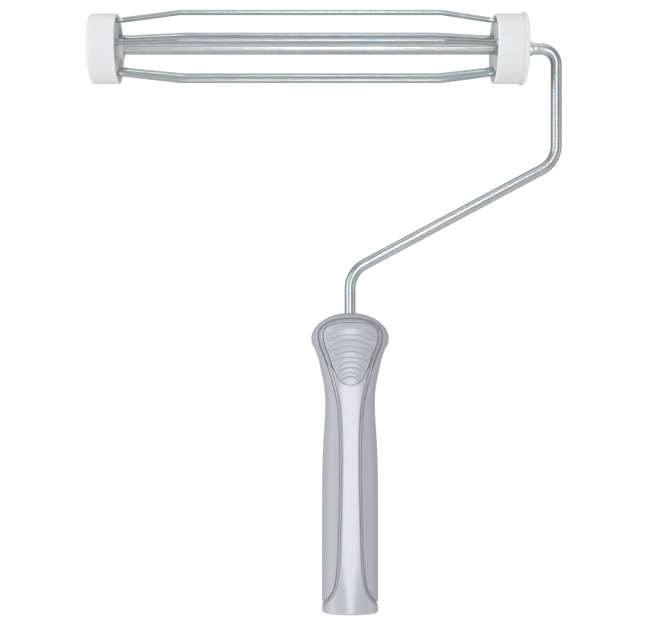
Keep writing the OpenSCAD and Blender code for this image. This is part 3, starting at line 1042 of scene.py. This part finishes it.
def thumb_pad(name, side, node):
    """A thumb pad with crescent ribs, rounded at its edge, in front or behind."""
    line = pad_outline()
    turns = np.linspace(0, math.pi, PAD_TOP_ROWS)
    z = mix(line[0, 1] + PAD_GAP, line[-1, 1] - PAD_GAP, (1 - np.cos(turns)) / 2)
    reach = np.maximum(np.interp(z, line[:, 1], line[:, 0]) - PAD_GAP, 0)
    reach[0] = reach[-1] = 0

    def grid(share):
        return reach[:, None] * share[None, :], np.repeat(z[:, None], len(share), 1)

    share = np.sin(np.linspace(-math.pi / 2, math.pi / 2, PAD_TOP_COLUMNS))
    top = pad_top(*grid(share), line)
    under = on_grip(*grid(np.linspace(-1, 1, PAD_UNDER_COLUMNS)), PAD_SEAT_DEPTH - PAD_GAP)
    points = np.concatenate([top.reshape(-1, 3), under.reshape(-1, 3)])
    start = PAD_TOP_ROWS * PAD_TOP_COLUMNS
    faces = quad_grid(PAD_TOP_ROWS, PAD_TOP_COLUMNS)
    faces += [f[::-1] for f in quad_grid(PAD_TOP_ROWS, PAD_UNDER_COLUMNS, start)]
    edges = ((0, 0, False), (PAD_TOP_COLUMNS - 1, PAD_UNDER_COLUMNS - 1, True))
    for r in range(PAD_TOP_ROWS - 1):
        above, below = r * PAD_TOP_COLUMNS, start + r * PAD_UNDER_COLUMNS
        for top_c, under_c, flip in edges:
            face = (
                above + top_c, above + PAD_TOP_COLUMNS + top_c,
                below + PAD_UNDER_COLUMNS + under_c, below + under_c,
            )
            faces.append(face[::-1] if flip else face)
    points = points * np.array([1, 1 if side == FRONT else -1, 1])
    make_piece(name, points, faces, PAD_PLASTIC, "frame", [node])


def pole_socket_insert():
    """The insert: a closed tube with a coarse round thread for an extension pole."""
    outer_r = insert_high[0]
    top = insert_high[2]
    root_r = 9.75
    crest_r = 8.6
    pitch = 5.08
    floor_z = top - 4
    sides = 72
    outline = [(0, top), (outer_r - 0.4, top), (outer_r - 0.1, top - 0.1), (outer_r, top - 0.4)]
    outline += [(outer_r, 0.4), (outer_r - 0.1, 0.1), (outer_r - 0.4, 0)]
    outline += [(root_r + 0.5, 0), (root_r + 0.15, 0.1)]
    rows = [[point] * sides for point in outline]
    for z in np.linspace(0.4, floor_z - 0.6, 110):
        fade = float(ease(0.4, 3.0, z) * (1 - ease(floor_z - 4, floor_z - 2, z)))
        row = []
        for k in range(sides):
            phase = (z / pitch - k / sides) % 1
            ridge = float(ease(0.55, 0.25, abs(phase - 0.5) * 2))
            row.append((root_r - (root_r - crest_r) * ridge * fade, z))
        rows.append(row)
    rows.append([(root_r - 0.5, floor_z)] * sides)
    rows.append([(0, floor_z)] * sides)
    points = []
    for row in rows:
        for t, (r, z) in zip(full_turn(sides), row):
            points.append((r * math.cos(t), r * math.sin(t), z))
    faces = quad_grid(len(rows), sides, close_columns=True)
    make_piece(
        "pole_socket_thread", points, faces, INSERT_PLASTIC, "frame",
        ["pole_socket_insert"],
    )


# ---- the rod and what is on it ----

def bump_at(place, start, length):
    """1 in the middle of a stretch, 0 outside it."""
    return float(ease(start - 0.6, start + 0.9, place) * (1 - ease(
        start + length - 0.9, start + length + 0.6, place)))


def frame_rod():
    """The rod, bent from one bar: axle, upright, diagonal and tang, with ears and an anchor."""
    corners = [
        (ROD_END_X, AXLE_Z), (ARM_X, AXLE_Z), (ARM_X, ELBOW_Z), (0, NECK_Z), (0, ROD_FOOT_Z)
    ]
    radii = [0, CAGE_BEND_R, ARM_BEND_R, ARM_BEND_R, 0]
    places, directions = bent_path(corners, radii, 1.0, 3)
    along = lengths_along(places)

    def section(i):
        x, z = places[i]
        from_end = min(along[i], along[-1] - along[i])
        trim = max(0, ROD_CHAMFER - from_end)
        ear = bump_at(x, EAR_X, EAR_LEN) if z > AXLE_Z - 1 else 0
        anchor = bump_at(z, ANCHOR_Z, ANCHOR_LEN) if x < 1 else 0
        in_plane = ROD_R - trim + ear * (EAR_HALF - ROD_R) + anchor * (ANCHOR_HALF - ROD_R)
        across = ROD_R - trim - ear * EAR_SQUASH - anchor * ANCHOR_SQUASH
        return in_plane, across, 2

    points, faces, uvs = swept_bar(places, directions, section, 48)
    make_piece(
        "frame_rod_bar", points, faces, ROD_ZINC, "frame", ["frame_rod"], uvs
    )


def push_nut():
    """A spring-steel push nut: a scalloped flange with teeth that grip the rod."""
    flange_x = nut_high[0] - 0.8
    flange_r = nut_high[2] - AXLE_Z

    def toothed(x, r, t):
        slot = ease(0.5, 0.8, math.cos(6 * t))
        inner = ease(flange_r - 0.8, ROD_R + 0.3, r)
        return x, r + float(slot * inner) * 1.1

    corners = [
        (nut_low[0], ROD_R + 0.02, 0.15), (flange_x + 0.3, ROD_R + 1.4, 0.3),
        (nut_high[0], ROD_R + 1.4, 0.15), (nut_high[0], flange_r, 0.2),
        (flange_x, flange_r, 0.2), (flange_x, ROD_R + 2.0, 0.3),
        (nut_low[0], ROD_R + 0.5, 0.15),
    ]
    turned_piece(
        "push_nut_star", corners, SPRING_STEEL, "frame", ["axle_push_nut"],
        shape=toothed,
    )


def washer(name, low, high, node):
    """A flat washer on the rod, in the box that its CAD node fills."""
    bore = ROD_R + 0.15
    outer = high[2] - AXLE_Z
    corners = [
        (low[0], bore, 0.12), (high[0], bore, 0.12), (high[0], outer, 0.25),
        (low[0], outer, 0.25),
    ]
    turned_piece(name, corners, WASHER_STEEL, "frame", [node], sides=64)


# ---- the cage ----

def wire_turns():
    """Turns of the wires about the axle, from straight up towards the front."""
    return [math.radians(WIRE_TURN + 360 * i / WIRE_COUNT) for i in range(WIRE_COUNT)]


def round_the_axle(x, r, turn):
    """The point at radius r, turned from straight up towards the front."""
    return (x, -r * math.sin(turn), AXLE_Z + r * math.cos(turn))


def socket_cutters(start_x, end_x):
    """Cutters for the wires' holes in a cap."""
    cutters = []
    for turn in wire_turns():
        start = round_the_axle(start_x, WIRE_CAP_R, turn)
        end = round_the_axle(end_x, WIRE_CAP_R, turn)
        cutters.append(round_cutter(start, end, WIRE_R + 0.12, 28))
    return cutters


def free_end_cap():
    """The free-end cap: dished inside the cage, with a well for the bearing and the nut."""
    corners = [
        (FREE_WELL_X, HUB_R, 0.3), (FREE_FLOOR_X, HUB_R, 0.25), (FREE_FLOOR_X, LIP_R, 0.5),
        (FREE_RIM_X, LIP_R, 0.35), (FREE_RIM_X, CAP_R, 0.8), (FREE_OUT_X, CAP_R, 1.8),
        (FREE_OUT_X, FREE_WELL_R, 0.25), (FREE_WELL_X, FREE_WELL_R, 0.3),
    ]
    cap = turned_piece(
        "free_end_cap_shell", corners, CAP_PLASTIC, "cage", ["free_end_cap"],
        sides=128, steps=8,
    )
    cut_away(cap, socket_cutters(FREE_FLOOR_X - WIRE_SOCKET, FREE_FLOOR_X + 1.5))


def free_end_plug():
    """A push-in plug with a shallow dish and a gate mark."""
    x, r = plug_low[0], FREE_WELL_R - 0.05
    inner_x = plug_high[0]
    corners = [
        (x + 0.5, 0, 0), (x + 0.5, r - 2.2, 0.4), (x, r - 1.4, 0.3), (x, r, 0.35),
        (inner_x, r, 0.2), (inner_x, r - 1.5, 0.2), (x + 2, r - 1.5, 0.3), (x + 2, 0, 0),
    ]
    profile = rounded_profile(corners, closed=False)
    gate = [np.array([x + 0.25, 0.0]), np.array([x + 0.25, 0.5]), np.array([x + 0.5, 0.7])]
    profile = gate + profile[1:]
    sides = 96
    faces = quad_grid(len(profile), sides, close_columns=True)
    make_piece(
        "free_end_plug_disc", turned_points(profile, sides), faces, CAP_PLASTIC, "cage",
        ["free_end_plug"],
    )


def free_end_bearing():
    """The free end's bush, whose nose shows inside the cage."""
    nose_r = nose_high[2] - AXLE_Z
    corners = [
        (nose_low[0], BUSH_BORE_R, 0.2), (nose_high[0], BUSH_BORE_R, 0.3),
        (nose_high[0], nose_r, 0.6), (FREE_FLOOR_X, nose_r, 0.1), (FREE_FLOOR_X, HUB_R, 0.1),
        (nose_low[0], HUB_R, 0.3),
    ]
    turned_piece(
        "free_end_bearing_nose", corners, BEARING_NYLON, "cage",
        ["free_end_bearing"],
    )


def arm_end_cap():
    """The arm-end cap, with the flange that stops the roller cover."""
    flange_r = CAP_R + STOP_FLANGE_H
    flange_x = ARM_OUT_X - STOP_FLANGE_W
    corners = [
        (ARM_WELL_X, HUB_R, 0.2), (ARM_WELL_X, ARM_WELL_R, 0.3), (ARM_OUT_X, ARM_WELL_R, 0.25),
        (ARM_OUT_X, flange_r, 0.9), (flange_x, flange_r, 0.3), (flange_x, CAP_R, 0.3),
        (ARM_RIM_X, CAP_R, 1.1), (ARM_RIM_X, LIP_R, 0.35), (ARM_FLOOR_X, LIP_R, 0.5),
        (ARM_FLOOR_X, HUB_R, 0.25),
    ]
    cap = turned_piece(
        "arm_end_cap_shell", corners, CAP_PLASTIC, "cage", ["arm_end_cap"],
        sides=128, steps=6,
    )
    cut_away(cap, socket_cutters(ARM_FLOOR_X - 1.5, ARM_FLOOR_X + WIRE_SOCKET))


def arm_end_cover():
    """A ring that closes the arm-end cap's well, with a raised inner and outer rim."""
    x, r = ARM_OUT_X, ARM_WELL_R - 0.05
    corners = [
        (cover_low[0], HUB_R + 0.05, 0.2), (x, HUB_R + 0.05, 0.25), (x, HUB_R + 1.6, 0.3),
        (x - 0.5, HUB_R + 2.2, 0.3), (x - 0.5, r - 2.1, 0.3), (x, r - 1.5, 0.3), (x, r, 0.25),
        (cover_low[0], r, 0.2),
    ]
    turned_piece(
        "arm_end_cover_ring", corners, CAP_PLASTIC, "cage", ["arm_end_cover"]
    )


def arm_end_bearing():
    """The arm end's flanged bush."""
    flange_r = hub_high[2] - AXLE_Z
    flange_x = ARM_WELL_X + 1.5
    corners = [
        (hub_low[0], BUSH_BORE_R, 0.25), (hub_high[0], BUSH_BORE_R, 0.25),
        (hub_high[0], HUB_R, 0.25), (flange_x, HUB_R, 0.2), (flange_x, flange_r, 0.3),
        (ARM_WELL_X, flange_r, 0.1), (ARM_WELL_X, HUB_R, 0.1), (hub_low[0], HUB_R, 0.25),
    ]
    turned_piece(
        "arm_end_bearing_bush", corners, BEARING_NYLON, "cage",
        ["arm_end_bearing"],
    )


def cage_wire(index, turn):
    """One sprung wire, squeezed a little flatter where it enters each cap."""
    free_x, arm_x = FREE_FLOOR_X + WIRE_STUB, ARM_FLOOR_X - WIRE_STUB
    corners = [
        (FREE_FLOOR_X - WIRE_SOCKET + 0.3, WIRE_CAP_R), (free_x, WIRE_CAP_R),
        (free_x + FREE_SLOPE, WIRE_MID_R), (arm_x - ARM_SLOPE, WIRE_MID_R),
        (arm_x, WIRE_CAP_R), (ARM_FLOOR_X + WIRE_SOCKET - 0.3, WIRE_CAP_R),
    ]
    radii = [0] + [WIRE_BEND_R] * 4 + [0]
    places, directions = bent_path(corners, radii, 1.2, 1.2)

    def section(i):
        x = places[i][0]
        squeeze = bump_at(x, FREE_FLOOR_X + STUB_START, STUB_LENGTH)
        squeeze += bump_at(x, ARM_FLOOR_X - STUB_START - STUB_LENGTH, STUB_LENGTH)
        thin, wide = 1 - STUB_SQUEEZE * squeeze, 1 + STUB_SPREAD * squeeze
        return WIRE_R * thin, WIRE_R * wide, 2 + 1.6 * squeeze

    points, faces, uvs = swept_bar(places, directions, section, 28)
    c, s = math.cos(turn), math.sin(turn)
    points = [(x, y * c - r * s, AXLE_Z + y * s + r * c) for x, y, r in points]
    uvs = [(u + 1.7 * index, v) for u, v in uvs]
    name = f"cage_wire_{index}"
    make_piece(name + "_bar", points, faces, WIRE_ZINC, "cage", [name], uvs)


# ---- the studio ----

def floor():
    """A plain pale floor, well below the grip, which its pole socket holds."""
    half, drop = 1.6, 0.62
    mesh = bpy.data.meshes.new("floor")
    corners = [(half * x, half * y, -drop) for x, y in ((-1, -1), (1, -1), (1, 1), (-1, 1))]
    mesh.from_pydata(corners, [], [(0, 1, 2, 3)])
    n = Nodes(bpy.data.materials.new("floor_paint"))
    n.feed("Base Color", n.ramp(n.noise(n.place(), 4, 3), [(0.3, 0.90), (0.7, 0.93)]))
    n.set(Roughness=0.8, Emission_Color=(1, 1, 1, 1), Emission_Strength=0.2)
    mesh.materials.append(n.owner)
    plane = add_object("floor", mesh)


def area_light(name, place, target, width, height, power, colour=(1, 1, 1)):
    """A soft rectangular light aimed at a point. Lengths are in metres."""
    data = bpy.data.lights.new(name, "AREA")
    data.shape = "RECTANGLE"
    data.size = width
    data.size_y = height
    data.energy = power
    data.color = colour
    lamp = add_object(name, data)
    lamp.location = place
    way = Vector(target) - Vector(place)
    lamp.rotation_euler = way.to_track_quat("-Z", "Y").to_euler()


# Greys of the room from straight down (0) to straight up (1)
ROOM_GREYS = [(0.0, 0.66), (0.35, 0.56), (0.5, 0.66), (0.65, 0.52), (0.8, 0.60), (1.0, 0.75)]
ROOM_STRENGTH = 0.8
BACKDROP_STRENGTH = 1.05


def studio_world():
    """A white backdrop for the camera, and a soft grey room for light and reflections."""
    world = bpy.data.worlds.new("studio")
    bpy.context.scene.world = world
    n = Nodes(world)
    n.tree.nodes.clear()
    split = n.add("SeparateXYZ")
    n.join(n.add("TexCoord").outputs["Generated"], split.inputs[0])
    to_unit = n.add("MapRange")
    to_unit.inputs["From Min"].default_value = -1
    n.join(split.outputs["Z"], to_unit.inputs["Value"])
    greys = [(at, (grey, grey, grey * 1.01)) for at, grey in ROOM_GREYS]
    room = n.add("Background")
    room.inputs["Strength"].default_value = ROOM_STRENGTH
    n.join(n.ramp(to_unit.outputs["Result"], greys), room.inputs["Color"])
    backdrop = n.add("Background")
    backdrop.inputs["Color"].default_value = (1, 1, 1, 1)
    backdrop.inputs["Strength"].default_value = BACKDROP_STRENGTH
    choose = n.add("MixShader")
    n.join(n.add("LightPath").outputs["Is Camera Ray"], choose.inputs["Fac"])
    n.join(room.outputs[0], choose.inputs[1])
    n.join(backdrop.outputs[0], choose.inputs[2])
    n.join(choose.outputs[0], n.add("OutputWorld").inputs["Surface"])


def studio():
    """The floor, the room and four soft lights."""
    floor()
    studio_world()
    aim = (-0.01, 0, 0.17)
    area_light("front_strip", (0.04, -2.0, 0.45), (0.0, 0, 0.45), 0.34, 1.9, 13)
    area_light("left_softbox", (-1.9, -1.0, 0.3), aim, 1.9, 2.4, 21, (0.95, 0.98, 1))
    area_light("right_bounce", (2.2, -0.6, 0.2), aim, 0.5, 1.8, 5, (1, 0.99, 0.94))
    area_light("top_softbox", (-0.1, -0.4, 1.9), aim, 2.0, 1.0, 7.5)


def camera():
    """The camera looks level along +Y, a little left of the grip and below its head."""
    data = bpy.data.cameras.new("camera")
    data.sensor_width = 36
    data.lens = 69.2
    data.shift_x = 0.0194
    data.shift_y = 0.1115
    data.clip_start = 0.01
    data.clip_end = 50
    eye = add_object("camera", data)
    eye.location = (-0.022, -0.6813, 0.125)
    eye.rotation_euler = (math.radians(90), 0, 0)
    bpy.context.scene.camera = eye
    bpy.context.scene.view_settings.view_transform = "Standard"


# ---- everything ----

camera()
studio()

handle_core()
side_grip()
thumb_pad("thumb_pad_front_ribbed", FRONT, "thumb_pad_front")
thumb_pad("thumb_pad_rear_ribbed", REAR, "thumb_pad_rear")
pole_socket_insert()
frame_rod()
push_nut()
washer("free_end_washer_disc", free_washer_low, free_washer_high, "free_end_washer")
washer("arm_end_washer_disc", arm_washer_low, arm_washer_high, "arm_end_washer")
free_end_cap()
free_end_plug()
free_end_bearing()
arm_end_cap()
arm_end_cover()
arm_end_bearing()
for wire, wire_turn in enumerate(wire_turns(), start=1):
    cage_wire(wire, wire_turn)
